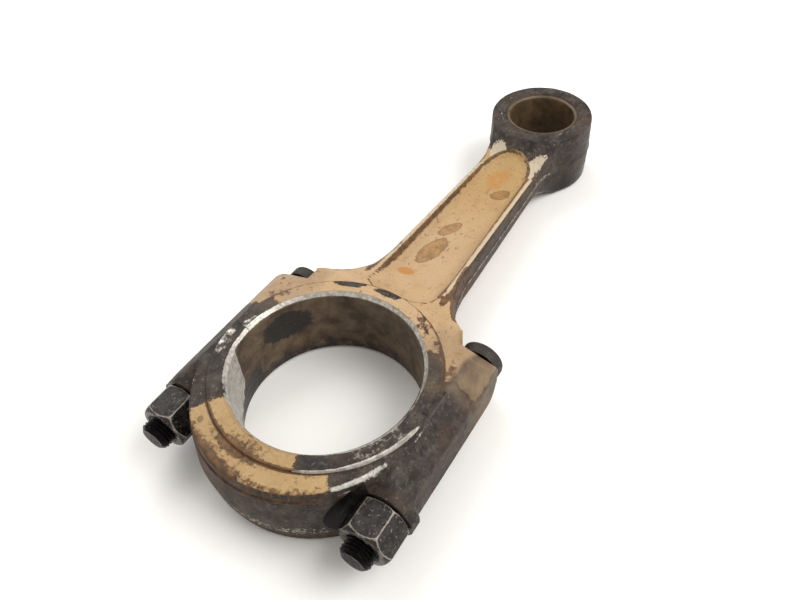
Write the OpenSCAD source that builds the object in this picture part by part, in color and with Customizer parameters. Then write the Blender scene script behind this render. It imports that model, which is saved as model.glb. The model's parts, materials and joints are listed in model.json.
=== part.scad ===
// Connecting rod of a medium diesel engine, split square across the big end.
// +Z runs along both bore axes, +X from the big end to the small end.
// The origin is the centre of the big-end bore at mid-thickness; the joint face is the plane x = 0.

/* [Overall] */
// Distance between the two bore centres
centre_distance = 215; // [175:1:260]

/* [Big end] */
// Diameter of the bearing housing bore
big_bore_d = 82; // [66:0.5:88]
// Width over the machined thrust faces
big_end_width = 39; // [32:0.5:50]
// 45 degree chamfer at each mouth of the housing bore
bore_chamfer = 2; // [0.5:0.1:3]
// Radial width of the raised thrust ring outside the chamfer
thrust_ring_w = 6.5; // [3:0.5:8]
// Height of the thrust ring over the forged faces
ring_step = 1.2; // [0.4:0.1:2]
// Wall of the cap between the bore and its crown, at mid-thickness
crown_wall = 21; // [15:0.5:28]
// How far the crown's arc centre lies behind the joint face
crown_offset = 10; // [4:0.5:14]
// Forging draft of the crown, per side
crown_draft = 2; // [0.5:0.5:3]

/* [Bolts and nuts] */
// Metal between the housing bore and each bolt
bolt_wall = 3; // [2:0.5:8]
// Diameter of the bolt shank and thread
bolt_d = 14; // [10:0.5:15]
// Radial clearance around each bolt
bolt_clearance = 0.08; // [0.03:0.01:0.2]
// Radius of the bolt head beyond that of its shank
head_lip = 3; // [2:0.5:4.5]
// Height of the bolt head
head_h = 8; // [5:0.5:11]
// How far the head's flat, which stops it turning, stands out past the shank
head_flat_lip = 4.2; // [3:0.1:5]
// How far the head stands out past the bolt's shank on its outer side
head_outer_lip = 0.3; // [0.2:0.1:1]
// Gap between that flat and the ledge on the rod
flat_gap = 0.3; // [0.1:0.1:0.5]
// Nut size across flats
nut_flats = 21; // [18:0.5:23]
// Height of the nut
nut_h = 15.5; // [11:0.5:20]
// Bolt standing out of the nut
bolt_stand_out = 6; // [2:0.5:10]

/* [Lugs] */
// Joint face to the bolt-head shoulder on the rod
shoulder_x = 44.5; // [38:0.5:52]
// Joint face to the nut seat on the cap
nut_seat_x = 35.5; // [30:0.5:38]
// Metal outside each bolt at the lug's side
lug_wall = 2; // [1.5:0.5:7]
// Height of the flat side of a lug
lug_side_h = 18; // [14:0.5:24]
// Width of the sloping face between a lug's side and its top
lug_slope_w = 10; // [6:0.5:12]
// Rounded shoulder edge: run along the rod, measured back from the seat
shoulder_slope = 5; // [2:0.5:8]
// How far the round boss at each nut seat stands out past the nut's corners
seat_boss_lip = 0.7; // [0.4:0.1:1.5]
// Length of that boss
seat_boss_h = 5; // [2:0.5:8]
// Gap around the nut's corners inside the spot-faced seat
spot_face_gap = 6; // [1:0.1:7]

/* [Shank] */
// Width of the shank where it leaves the big end
shank_w_big = 41; // [34:0.5:48]
// Width of the shank where it meets the small end
shank_w_small = 35; // [28:0.5:40]
// Thickness of the shank at the big end
shank_t_big = 20; // [17:0.5:24]
// Thickness of the shank at the small end
shank_t_small = 15.5; // [13:0.5:20]
// Radius that sweeps the shank's sides out to the big end
neck_r = 60; // [45:1:80]
// Radius that sweeps the shank's faces up to the big end
big_face_r = 42; // [25:1:55]
// Radius that sweeps the shank's sides out to the eye
eye_side_r = 45; // [25:1:60]
// Radius that sweeps the shank's faces up to the eye
eye_face_r = 30; // [15:1:40]
// Width of the rims left beside the recess
rim_w = 3.2; // [2:0.1:5]
// Thickness of the web between the two recesses
web_t = 10; // [6:0.5:12]

/* [Small end] */
// Outside diameter of the eye
eye_d = 59; // [54:0.5:66]
// Width of the eye
eye_width = 37; // [28:0.5:44]
// Bore of the small-end bush
pin_bore_d = 36.8; // [28:0.1:38]
// Wall of the bush
bush_wall = 2; // [1:0.1:3]
// How far the bush stops short of each face of the eye
bush_recess = 0.8; // [0.2:0.1:2]
// Chamfer inside each end of the bush
bush_chamfer = 0.8; // [0.3:0.1:1.5]

/* [Hidden] */
$fn = 180;
EPS = 0.01;

bore_r = big_bore_d / 2;
face_z = big_end_width / 2;
body_z = face_z - ring_step;
ring_r = bore_r + bore_chamfer + thrust_ring_w;
crown_r = bore_r + crown_wall - crown_offset;

bolt_r = bolt_d / 2;
hole_r = bolt_r + bolt_clearance;
head_r = bolt_r + head_lip;
head_flat = bolt_r + head_flat_lip;
head_offset = head_lip - head_outer_lip;
head_dome_h = 2.5;
tip_chamfer = 1.5;
nut_corner_r = nut_flats / sqrt(3);
nut_end_chamfer = 2;
nut_face_inset = 0.5;
nut_seat_chamfer = 1;
spot_face_r = nut_corner_r + spot_face_gap;
seat_boss_r = nut_corner_r + seat_boss_lip;
bolt_offset = bore_r + bolt_wall + bolt_r;
lug_y = bolt_offset + bolt_r + lug_wall;
slope_y = lug_y - lug_slope_w;
ledge_y = bolt_offset - head_flat - flat_gap;
ledge_run = 2.5;

bush_r = pin_bore_d / 2 + bush_wall;
eye_z = eye_width / 2;
eye_r = eye_d / 2;

// Where the shank's straight sides and faces begin and end; the neck's arc would meet the bolt
// seat a little outside the ledge
neck_outset = 1.9;
neck_y = ledge_y + neck_outset;
neck_end_x = shoulder_x + sqrt(pow(neck_r, 2) - pow(neck_r - (neck_y - shank_w_big / 2), 2));
eye_side_y = shank_w_small / 2 + eye_side_r;
eye_side_x = centre_distance - sqrt(pow(eye_r + eye_side_r, 2) - pow(eye_side_y, 2));
big_rise_inset = 2;
big_rise_x = ring_r - big_rise_inset;
big_arc_x = big_rise_x + sqrt(pow(big_face_r, 2) - pow(big_face_r - (body_z - shank_t_big / 2), 2));
eye_rise_inset = 1;
eye_rise_x = centre_distance - eye_r + eye_rise_inset;
eye_arc_x = eye_rise_x - sqrt(pow(eye_face_r, 2) - pow(eye_face_r - (eye_z - shank_t_small / 2), 2));

// Recess in each face of the shank
recess_big_gap = 1.5;
recess_small_gap = 4;
recess_big_x = ring_r + recess_big_gap;
recess_small_x = centre_distance - eye_r - recess_small_gap;
recess_y_big = shank_w_big / 2 - rim_w;
recess_y_small = shank_w_small / 2 - rim_w;
recess_corner = 10;
recess_end_r = recess_y_small - 1;
floor_rise_big = body_z - 2.5;
floor_rise_small = 12.5;
floor_run_big = 34;
floor_run_small = 26;

// Both +Y and -Y sides of something drawn on +Y
module both_sides() {
  children();
  mirror([0, 1, 0]) children();
}

// An outline in the X-Z plane, extruded across the rod between two Y positions
module across(y0, y1) {
  translate([0, y1, 0]) rotate([90, 0, 0]) linear_extrude(y1 - y0) children();
}

// Plan of the eye and the shank, whose sides are swept out to both ends by arcs
module shank_plan() {
  translate([centre_distance, 0]) circle(eye_r);
  difference() {
    polygon([
      [0, -ledge_y], [neck_end_x, -ledge_y], [eye_side_x, -eye_side_y],
      [centre_distance, 0], [eye_side_x, eye_side_y], [neck_end_x, ledge_y], [0, ledge_y]
    ]);
    for (side = [-1, 1]) scale([1, side]) side_cut();
  }
}

// What is cut away beside the shank: neck arc, straight side, eye arc
module side_cut() {
  neck_side_y = shank_w_big / 2;
  polygon([
    [neck_end_x, neck_side_y], [eye_side_x, shank_w_small / 2], [eye_side_x, eye_side_y + eye_side_r],
    [neck_end_x, neck_side_y + neck_r]
  ]);
  intersection() {
    translate([neck_end_x, neck_side_y + neck_r]) circle(neck_r);
    translate([shoulder_x + ledge_run, 0]) square([neck_end_x - shoulder_x, neck_side_y + 2 * neck_r]);
  }
  intersection() {
    translate([eye_side_x, eye_side_y]) circle(eye_side_r);
    translate([eye_side_x - EPS, 0]) square([centre_distance - eye_side_x, eye_side_y + eye_side_r]);
  }
}

// Side view of the forging's upper half: body, dip of the shank, rise to the eye
module side_profile() {
  difference() {
    translate([0, -EPS]) square([centre_distance + eye_r, max(body_z, eye_z) + EPS]);
    polygon([
      [big_arc_x, shank_t_big / 2], [eye_arc_x, shank_t_small / 2], [eye_arc_x, eye_z + eye_face_r],
      [big_arc_x, body_z + big_face_r]
    ]);
    translate([big_arc_x, shank_t_big / 2 + big_face_r]) circle(big_face_r);
    translate([eye_arc_x, shank_t_small / 2 + eye_face_r]) circle(eye_face_r);
    translate([0, body_z]) square([big_arc_x, big_face_r]);
  }
}

// Plan of the recess in a face of the shank, with rounded ends
module recess_plan() {
  end_x = recess_small_x - recess_end_r;
  side_x = recess_big_x + recess_corner;
  corner_y = recess_y_big - recess_corner;
  intersection() {
    polygon([
      [recess_big_x, -recess_y_big], [end_x, -recess_y_small], [recess_small_x, -recess_y_small],
      [recess_small_x, recess_y_small], [end_x, recess_y_small], [recess_big_x, recess_y_big]
    ]);
    union() {
      translate([end_x, 0]) circle(recess_end_r);
      translate([side_x, -recess_y_big]) square([end_x - side_x, 2 * recess_y_big]);
      translate([recess_big_x, -corner_y]) square([recess_corner, 2 * corner_y]);
      for (side = [-1, 1]) translate([side_x, side * corner_y]) circle(recess_corner);
    }
  }
}

// Side view of what is taken out above the web, its floor curving up at both ends
module recess_profile() {
  rise_big = floor_rise_big - web_t / 2;
  rise_small = floor_rise_small - web_t / 2;
  big_r = (pow(floor_run_big, 2) + pow(rise_big, 2)) / (2 * rise_big);
  small_r = (pow(floor_run_small, 2) + pow(rise_small, 2)) / (2 * rise_small);
  big_x = recess_big_x + floor_run_big;
  small_x = recess_small_x - floor_run_small;
  top = face_z + 1;
  translate([big_x, web_t / 2]) square([small_x - big_x, top - web_t / 2]);
  intersection() {
    translate([big_x, web_t / 2 + big_r]) circle(big_r);
    translate([recess_big_x - 1, 0]) square([floor_run_big + 1 + EPS, top]);
  }
  intersection() {
    translate([small_x, web_t / 2 + small_r]) circle(small_r);
    translate([small_x - EPS, 0]) square([floor_run_small + 1, top]);
  }
}

// Section of the two lugs in the Y-Z plane: flat sides, and slopes up to the flat faces
module lug_section() {
  polygon([
    [slope_y, -body_z], [lug_y, -lug_side_h / 2], [lug_y, lug_side_h / 2], [slope_y, body_z],
    [-slope_y, body_z], [-lug_y, lug_side_h / 2], [-lug_y, -lug_side_h / 2], [-slope_y, -body_z]
  ]);
}

// The lug section extruded along the rod from x0 to x1
module lugs(x0, x1) {
  translate([x0, 0, 0]) rotate([90, 0, 90]) linear_extrude(x1 - x0) lug_section();
}

// Slope that rounds off the top edge of a bolt-head shoulder
module shoulder_slope_cut() {
  across(ledge_y, lug_y + 1) polygon([
    [shoulder_x - shoulder_slope, body_z + EPS],
    [shoulder_x + EPS, lug_side_h / 2],
    [shoulder_x + EPS, body_z + EPS]
  ]);
}

// Everything cut round the housing bore: the bore and its two chamfers
module housing_bore() {
  cylinder(h = 2 * body_z + 4 * ring_step, r = bore_r, center = true);
  for (end = [0, 1]) mirror([0, 0, end])
    translate([0, 0, face_z - bore_chamfer])
      cylinder(h = bore_chamfer + EPS, r1 = bore_r, r2 = bore_r + bore_chamfer + EPS);
}

// A straight hole for one bolt, through a lug
module bolt_hole(x0, x1) {
  translate([x0, bolt_offset, 0]) rotate([0, 90, 0]) cylinder(h = x1 - x0, r = hole_r);
}

module rod_forging() {
  color("burlywood") difference() {
    union() {
      intersection() {
        translate([0, 0, -face_z]) linear_extrude(2 * face_z) shank_plan();
        across(-lug_y, lug_y) union() { side_profile(); mirror([0, 1]) side_profile(); }
      }
      lugs(0, shoulder_x);
      cylinder(h = 2 * face_z, r = ring_r, center = true);
    }
    translate([-ring_r - 1, -ring_r - 1, -face_z - 1]) cube([ring_r + 1, 2 * ring_r + 2, 2 * face_z + 2]);
    housing_bore();
    both_sides() bolt_hole(-1, shoulder_x + 1);
    both_sides() for (end = [0, 1]) mirror([0, 0, end]) shoulder_slope_cut();
    for (end = [0, 1]) mirror([0, 0, end]) intersection() {
      linear_extrude(face_z + 1) recess_plan();
      across(-lug_y, lug_y) recess_profile();
    }
    translate([centre_distance, 0, 0]) cylinder(h = eye_width + 2, r = bush_r, center = true);
  }
}

module small_end_bush() {
  length = eye_width - 2 * bush_recess;
  inner_r = pin_bore_d / 2;
  color("peru") translate([centre_distance, 0, 0]) rotate_extrude() polygon([
    [inner_r + bush_chamfer, -length / 2], [bush_r, -length / 2], [bush_r, length / 2],
    [inner_r + bush_chamfer, length / 2], [inner_r, length / 2 - bush_chamfer],
    [inner_r, bush_chamfer - length / 2]
  ]);
}

module bearing_cap() {
  color("dimgray") difference() {
    union() {
      translate([-crown_offset, 0, 0]) for (end = [0, 1]) mirror([0, 0, end])
        cylinder(h = body_z, r1 = crown_r, r2 = crown_r - crown_draft);
      lugs(-nut_seat_x, 0);
      cylinder(h = 2 * face_z, r = ring_r, center = true);
      both_sides() translate([-nut_seat_x, bolt_offset, 0])
        rotate([0, 90, 0]) cylinder(h = seat_boss_h, r = seat_boss_r);
    }
    translate([0, -lug_y - 1, -face_z - 1]) cube([crown_r + ring_r, 2 * lug_y + 2, 2 * face_z + 2]);
    housing_bore();
    both_sides() bolt_hole(-nut_seat_x - 1, 1);
    both_sides() translate([-nut_seat_x - crown_r, bolt_offset, 0])
      rotate([0, 90, 0]) cylinder(h = crown_r, r = spot_face_r);
  }
}

// Bolt drawn on +Y: domed head with one flat towards the rod, shank and chamfered end
module bolt() {
  tip_x = -nut_seat_x - nut_h - bolt_stand_out;
  dome_r = (pow(head_r, 2) + pow(head_dome_h, 2)) / (2 * head_dome_h);
  translate([0, bolt_offset, 0]) rotate([0, 90, 0]) {
    translate([0, 0, tip_x + tip_chamfer]) cylinder(h = shoulder_x - tip_x - tip_chamfer + EPS, r = bolt_r);
    translate([0, 0, tip_x]) cylinder(h = tip_chamfer + EPS, r1 = bolt_r - tip_chamfer, r2 = bolt_r);
    translate([0, 0, shoulder_x]) intersection() {
      translate([0, -head_offset, 0]) cylinder(h = head_h, r = head_r);
      translate([0, -head_offset, head_h - dome_r]) sphere(dome_r);
      translate([-head_r, -head_flat, 0]) cube([2 * head_r, head_flat + head_r, head_h]);
    }
  }
}

// Nut drawn on +Y: hexagon with both ends chamfered and a clear bore
module nut() {
  body_h = nut_h - nut_end_chamfer - nut_seat_chamfer;
  translate([-nut_seat_x - nut_h, bolt_offset, 0]) rotate([0, 90, 0]) difference() {
    intersection() {
      rotate(90) cylinder(h = nut_h, r = nut_corner_r, $fn = 6);
      union() {
        cylinder(h = nut_end_chamfer, r1 = nut_flats / 2 - nut_face_inset, r2 = nut_corner_r + EPS);
        translate([0, 0, nut_end_chamfer - EPS]) cylinder(h = body_h + 2 * EPS, r = nut_corner_r + EPS);
        translate([0, 0, nut_h - nut_seat_chamfer])
          cylinder(h = nut_seat_chamfer, r1 = nut_corner_r + EPS, r2 = nut_flats / 2);
      }
    }
    translate([0, 0, -1]) cylinder(h = nut_h + 2, r = hole_r);
  }
}

module bolt_left() { color("black") bolt(); }
module bolt_right() { color("black") mirror([0, 1, 0]) bolt(); }
module nut_left() { color("darkslategray") nut(); }
module nut_right() { color("darkslategray") mirror([0, 1, 0]) nut(); }

rod_forging();
small_end_bush();
bearing_cap();
bolt_left();
bolt_right();
nut_left();
nut_right();
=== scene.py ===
"""Connecting rod of a medium diesel engine: forged rod, bush, cap, bolts and nuts, oily and worn.

Shapes are worked out in millimetres and put into meshes in metres. +X runs to the small end, +Z along
the two bores, and the rod and its cap meet on the plane x = 0. Each half of a forging is one quarter
skin of grids, mirrored across the rod and through its thickness, with the bolt holes cut last.
"""
import json

import bmesh
import bpy
import numpy as np
from mathutils import Matrix, Vector


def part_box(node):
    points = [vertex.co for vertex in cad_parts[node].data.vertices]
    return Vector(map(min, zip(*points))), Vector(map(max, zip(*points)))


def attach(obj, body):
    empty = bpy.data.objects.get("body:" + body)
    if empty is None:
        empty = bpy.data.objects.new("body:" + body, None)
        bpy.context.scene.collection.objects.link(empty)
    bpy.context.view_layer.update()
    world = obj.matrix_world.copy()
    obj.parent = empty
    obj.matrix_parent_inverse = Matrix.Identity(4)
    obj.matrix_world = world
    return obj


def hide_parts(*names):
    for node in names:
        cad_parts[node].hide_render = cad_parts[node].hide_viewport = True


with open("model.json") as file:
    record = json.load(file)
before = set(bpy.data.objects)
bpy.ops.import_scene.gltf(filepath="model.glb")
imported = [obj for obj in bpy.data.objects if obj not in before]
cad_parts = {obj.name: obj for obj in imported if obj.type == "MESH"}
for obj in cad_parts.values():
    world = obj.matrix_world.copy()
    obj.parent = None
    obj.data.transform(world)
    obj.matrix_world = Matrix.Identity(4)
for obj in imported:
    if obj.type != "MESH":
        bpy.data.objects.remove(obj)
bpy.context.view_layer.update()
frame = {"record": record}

MM = 0.001

# ---- Sizes: from the frame where the frame holds them, in millimetres ----


def box_mm(node):
    """Lowest and highest corner of a CAD node, in millimetres."""
    low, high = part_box(node)
    return np.array(low) / MM, np.array(high) / MM


MOUNTS = {mount["name"]: mount for mount in frame["record"]["mounts"]}
ROD_LOW, ROD_HIGH = box_mm("rod_forging")
CAP_LOW, CAP_HIGH = box_mm("bearing_cap")
NUT_LOW, NUT_HIGH = box_mm("nut_left")
BOLT_LOW, BOLT_HIGH = box_mm("bolt_left")
BUSH_HIGH = box_mm("small_end_bush")[1]

BORE_R = MOUNTS["big_end_bore"]["dims"]["r_mm"]
PIN_R = MOUNTS["small_end_bore"]["dims"]["r_mm"]
EYE_X = MOUNTS["small_end_bore"]["pos_m"][0] / MM
FACE_Z = ROD_HIGH[2]
EYE_R = ROD_HIGH[0] - EYE_X
BUSH_R = BUSH_HIGH[1]
BOLT_Y = (NUT_LOW[1] + NUT_HIGH[1]) / 2
SEAT_X = NUT_HIGH[0]
LUG_Y = ROD_HIGH[1]
CROWN_X = CAP_LOW[0]

# Big end
CHAMFER = 2.0
RING_R = BORE_R + CHAMFER + 6.5
RING_STEP = 1.2
BODY_Z = FACE_Z - RING_STEP
RING_BAND_R = RING_R + 0.9
CROWN_CENTRE_X = -10.0
CROWN_R = CROWN_CENTRE_X - CROWN_X
CROWN_DRAFT = 2.0 / BODY_Z
# Lugs
SHOULDER_X = 44.5
STEP_X = SHOULDER_X + 2.5
LEDGE_Y = BOLT_Y - 11.5
SLOPE_Y = LUG_Y - 10.0
LUG_SIDE_Z = 9.0
SHOULDER_Z = 11.4
SHOULDER_SLOPE = 0.8
SHOULDER_ROUND = 1.8
BOLT_HOLE_R = 7.08
SPOT_FACE_R = 18.12
BOSS_R = CAP_HIGH[1] - BOLT_Y
BOSS_LENGTH = 5.0
BOSS_TAPER = 0.42
# Shank
NECK_R = 60.0
SHANK_HALF_BIG = 20.5
SHANK_HALF_SMALL = 17.5
NECK_END_X = SHOULDER_X + np.sqrt(NECK_R ** 2 - (NECK_R - (LEDGE_Y + 1.9 - SHANK_HALF_BIG)) ** 2)
EYE_SIDE_R = 45.0
EYE_SIDE_Y = SHANK_HALF_SMALL + EYE_SIDE_R
EYE_SIDE_X = EYE_X - np.sqrt((EYE_R + EYE_SIDE_R) ** 2 - EYE_SIDE_Y ** 2)
THICK_BIG = 10.0
THICK_SMALL = 7.75
BIG_FACE_R = 42.0
EYE_FACE_R = 30.0
EYE_Z = 18.5
BIG_RISE_X = RING_R - 2
BIG_ARC_X = BIG_RISE_X + np.sqrt(BIG_FACE_R ** 2 - (BIG_FACE_R - (BODY_Z - THICK_BIG)) ** 2)
EYE_RISE_X = EYE_X - EYE_R + 1
EYE_ARC_X = EYE_RISE_X - np.sqrt(EYE_FACE_R ** 2 - (EYE_FACE_R - (EYE_Z - THICK_SMALL)) ** 2)
# Recess in each face of the shank
RIM = 3.2
WEB_Z = 5.0
RECESS_BIG_X = RING_R + 1.5
RECESS_SMALL_X = EYE_X - EYE_R - 4
RECESS_CORNER = 10.0
RECESS_END_R = SHANK_HALF_SMALL - RIM - 1
MIDDLE_X = 120.0
# Eye
EYE_BAND_R = BUSH_R + 3.2

# ---- Shape helpers ----


def ramp(value, start, end):
    """0 before start, 1 after end, and a smooth S between them."""
    share = np.clip((value - start) / (end - start), 0, 1)
    return share * share * (3 - 2 * share)


def soft_min(a, b, width):
    """The smaller of two heights, with the crease between them rounded over width."""
    share = np.clip(0.5 + 0.5 * (b - a) / width, 0, 1)
    return b + (a - b) * share - width * share * (1 - share)


def soft_max(a, b, width):
    """The larger of two heights, with the crease between them filled over width."""
    return -soft_min(-a, -b, width)


def turn(angle):
    """Unit vectors at the given angles, in degrees."""
    radians = np.radians(angle)
    return np.stack([np.cos(radians), np.sin(radians)], -1)


def between(start, end, share):
    """Points that lie the given shares of the way from start to end."""
    return start + (end - start) * share[..., None]


def lay(x, y):
    """Pairs (x, y), one for each value of whichever is an array."""
    return np.stack(np.broadcast_arrays(x, y), -1)


def weld(grids):
    """Joins grids into points and faces: points at one place become one, and flat quads triangles."""
    points, quads, start = [], [], 0
    for grid in grids:
        rows, columns = grid.shape[:2]
        index = start + np.arange(rows * columns).reshape(rows, columns)
        corners = [index[:-1, :-1], index[:-1, 1:], index[1:, 1:], index[1:, :-1]]
        quads.append(np.stack(corners, -1).reshape(-1, 4))
        points.append(grid.reshape(-1, 3))
        start += rows * columns
    points = np.concatenate(points)
    _, first, place = np.unique(np.round(points, 3) + 0.0, axis=0, return_index=True, return_inverse=True)
    quads = place.ravel()[np.concatenate(quads)]
    doubled = quads == np.roll(quads, -1, 1)
    count = doubled.sum(1)
    pinched = quads[count == 1][~doubled[count == 1]].reshape(-1, 3)
    return points[first], quads[count == 0].tolist() + pinched.tolist()


def mirrored(grids, axis):
    """The grids and their mirror images, whose rows are turned round so that faces still point outwards."""
    flip = np.ones(3)
    flip[axis] = -1
    return grids + [grid[::-1] * flip for grid in grids]


def piece(name, grids, sharp=35):
    """A mesh object of welded grids, smooth but for edges sharper than the given angle in degrees."""
    points, faces = weld(grids)
    mesh = bpy.data.meshes.new(name)
    mesh.from_pydata(points * MM, [], faces)
    mesh.validate()
    obj = bpy.data.objects.new(name, mesh)
    bpy.context.scene.collection.objects.link(obj)
    shade(obj, sharp)
    return obj


def shade(obj, sharp):
    """Smooth shading, but for edges sharper than the given angle in degrees."""
    obj.data.polygons.foreach_set("use_smooth", np.ones(len(obj.data.polygons), bool))
    obj.data.set_sharp_from_angle(angle=np.radians(sharp))


def cut(obj, cutters, sharp=35):
    """Takes the cutters' solids out of obj and keeps the result as its mesh."""
    for cutter in cutters:
        step = obj.modifiers.new("cut", "BOOLEAN")
        step.operation = "DIFFERENCE"
        step.solver = "MANIFOLD"
        step.object = cutter
    done = obj.evaluated_get(bpy.context.evaluated_depsgraph_get())
    mesh = bpy.data.meshes.new_from_object(done)
    obj.modifiers.clear()
    obj.data = mesh
    for cutter in cutters:
        bpy.data.objects.remove(cutter)
    shade(obj, sharp)


def turned(profile, centre_y, reach=None, count=96):
    """A closed solid round an axis along X at centre_y. The profile is (x, radius) pairs from one end
    to the other, and reach(angle, x, radius), if given, says how far each point stands from the axis."""
    angle = np.linspace(0, 360, count + 1)
    x, radius = np.array(profile, float).T[:, :, None] * np.ones_like(angle)
    if reach is not None:
        radius = reach(angle[None, :], x, radius)
    way = turn(angle)
    radius[:, -1] = radius[:, 0]
    way[-1] = way[0]
    return np.stack([x, centre_y + radius * way[:, 0], radius * way[:, 1]], -1)


def rod_cutter(name, x0, x1, radius, side):
    """A plain cylinder along X on one bolt's axis, to cut with."""
    return piece(name, [turned([(x0, 0), (x0, radius), (x1, radius), (x1, 0)], side * BOLT_Y)])


# ---- Rod forging ----

# Shares of an edge's height at which the rows of every upright wall lie, from the top to mid-thickness
WALL_ROWS = np.array([1, 0.96, 0.88, 0.72, 0.48, 0.28, 0.16, 0.09, 0.04, 0])
# Distances in from an outline at which its rows lie
EDGE_ROWS = np.array([0, 0.25, 0.7, 1.3, 2.0, 2.8, 3.4, 4.0, 4.7, 5.5, 6.5, 7.7, 9.2, 11.0])
# Distances out from the housing bore at which the rows of the ring lie
RING_ROWS = np.array([0, 0.7, 1.4, 1.85, 2.0, 2.15, 3.2, 4.6, 6.0, 7.2, 8.0, 8.2, 8.5, 8.75, 9.0, 9.4])
MIDDLE_ROWS = 16
JOINT_EDGE = 0.25
FACE_ROUND = 1.6
FLASH = 0.3


def side_height(x, y):
    """Half thickness along the rod: big-end body, an arc down, a straight taper, and an arc up that
    runs round the eye."""
    to_eye = EYE_X - np.hypot(x - EYE_X, y) + 4 * ramp(x, EYE_X - 25, EYE_X - 10)
    arc_big = THICK_BIG + BIG_FACE_R - np.sqrt(np.maximum(BIG_FACE_R ** 2 - (x - BIG_ARC_X) ** 2, 0))
    arc_eye = THICK_SMALL + EYE_FACE_R - np.sqrt(np.maximum(EYE_FACE_R ** 2 - (to_eye - EYE_ARC_X) ** 2, 0))
    taper = THICK_BIG + (THICK_SMALL - THICK_BIG) * (x - BIG_ARC_X) / (EYE_ARC_X - BIG_ARC_X)
    big = np.where(x < BIG_ARC_X, arc_big, taper)
    eye = np.where(to_eye > EYE_ARC_X, arc_eye, taper)
    # Past each arc's top the face is flat: a height well above it leaves the flat one as the smaller
    big = np.where(x < BIG_RISE_X - 12, BODY_Z + 12, big)
    eye = np.where(to_eye > EYE_RISE_X + 10, EYE_Z + 10, eye)
    return np.where(x < MIDDLE_X, soft_min(big, BODY_Z, FACE_ROUND), soft_min(eye, EYE_Z, FACE_ROUND))


def lug_height(y):
    """Height of the sloping faces outside the bolts."""
    return LUG_SIDE_Z + (BODY_Z - LUG_SIDE_Z) * (LUG_Y - np.abs(y)) / (LUG_Y - SLOPE_Y)


def recess_depth_edge(x, y):
    """Distance in from the recess's outline: straight sides, two round corners, a round small end."""
    half = np.interp(x, [BIG_ARC_X, EYE_ARC_X], [SHANK_HALF_BIG - RIM, SHANK_HALF_SMALL - RIM])
    from_side = half - np.abs(y)
    from_big = x - RECESS_BIG_X
    corner = RECESS_CORNER - np.hypot(RECESS_CORNER - from_big, RECESS_CORNER - from_side)
    in_corner = (from_big < RECESS_CORNER) & (from_side < RECESS_CORNER)
    inside = np.where(in_corner, corner, np.minimum(from_side, from_big))
    end_x = RECESS_SMALL_X - RECESS_END_R
    from_end = RECESS_END_R - np.hypot(np.maximum(x - end_x, 0), y)
    return np.where(x > end_x, from_end, inside)


def recess_floor(x):
    """Height of the recess's floor: flat web, curving up by an arc at both ends."""
    run_big, rise_big = 34.0, BODY_Z - 2.5 - WEB_Z
    run_small, rise_small = 26.0, 12.5 - WEB_Z
    r_big = (run_big ** 2 + rise_big ** 2) / (2 * rise_big)
    r_small = (run_small ** 2 + rise_small ** 2) / (2 * rise_small)
    before = np.clip(RECESS_BIG_X + run_big - x, 0, run_big)
    after = np.clip(x - (RECESS_SMALL_X - run_small), 0, run_small)
    return WEB_Z + r_big - np.sqrt(r_big ** 2 - before ** 2) + r_small - np.sqrt(r_small ** 2 - after ** 2)


def ring_and_chamfer(height, r):
    """Raises the thrust ring over a height, and cuts the 45 degree chamfer at the bore's mouth."""
    height = height + (FACE_Z - height) * (1 - ramp(r, RING_R - 0.4, RING_R + 0.4))
    return np.minimum(height, FACE_Z - (BORE_R + CHAMFER - r))


def forged_swell(x, y):
    """Low waves of a forged face, about a tenth of a millimetre."""
    waves = np.sin(0.31 * x + 1.7 * np.sin(0.12 * y)) * np.sin(0.37 * y + 1.3 * np.sin(0.09 * x))
    return 0.08 * waves + 0.04 * np.sin(0.9 * x + 2.0) * np.sin(1.1 * y + 0.5)


def rod_height(x, y):
    """Upper face of the rod forging before its outer edges are rounded."""
    height = side_height(x, y) + forged_swell(x, y) * ramp(np.hypot(x, y), RING_R, RING_R + 3)
    height = soft_min(height, lug_height(y), 0.7)
    shoulder = SHOULDER_Z - 0.25 * (np.abs(y) - LEDGE_Y) + (SHOULDER_X - x) * SHOULDER_SLOPE
    over_head = ramp(np.abs(y), LEDGE_Y - 1.6, LEDGE_Y + 0.8) * (1 - ramp(x, SHOULDER_X - 0.5, STEP_X + 0.5))
    height = height + over_head * (soft_min(height, shoulder, 3.0) - height)
    inside = recess_depth_edge(x, y)
    wall_run, wall_slope = 1.6, 2.6
    wall = recess_floor(x) + (wall_run - inside) * wall_slope
    recess = soft_max(recess_floor(x), wall, 3.4)
    height = soft_min(height, recess, 1.5)
    return ring_and_chamfer(height, np.hypot(x, y))


def rounding(distance, radius):
    """How far a rounded edge has dropped at a distance in from its outline."""
    left = radius - np.minimum(distance, radius)
    return radius - np.sqrt(np.maximum(radius ** 2 - left ** 2, 0))


# Columns along the rod's outline, from the joint face round to the small end's tip
ROD_COLUMNS = {"lug": 56, "seat": 22, "ledge": 5, "step": 10, "neck": 26, "throat": 28, "side": 96,
               "fillet": 36, "eye": 84}


def shares(count, last=False):
    """Even shares from 0 up to 1, without the 1 unless it is the last stretch."""
    return np.linspace(0, 1, count + 1)[:count + (1 if last else 0)]


def columns(pairs, counts=ROD_COLUMNS):
    """One value per column, from the (start, end) pair of each stretch of an outline, in order."""
    last = list(pairs)[-1]
    return np.concatenate([
        np.interp(shares(counts[name], name == last), [0, 1], pair) for name, pair in pairs.items()
    ])


def joined(names, *values):
    """A (start, end) pair for each name, which ends where the next one starts."""
    return dict(zip(names, zip(values, values[1:])))


def runs(counts):
    """The slice of columns that each stretch of an outline takes up; the last one has its end too."""
    ends = np.cumsum(list(counts.values()))
    last = list(counts)[-1]
    return {name: slice(end - counts[name], end + (name == last)) for name, end in zip(counts, ends)}


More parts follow.
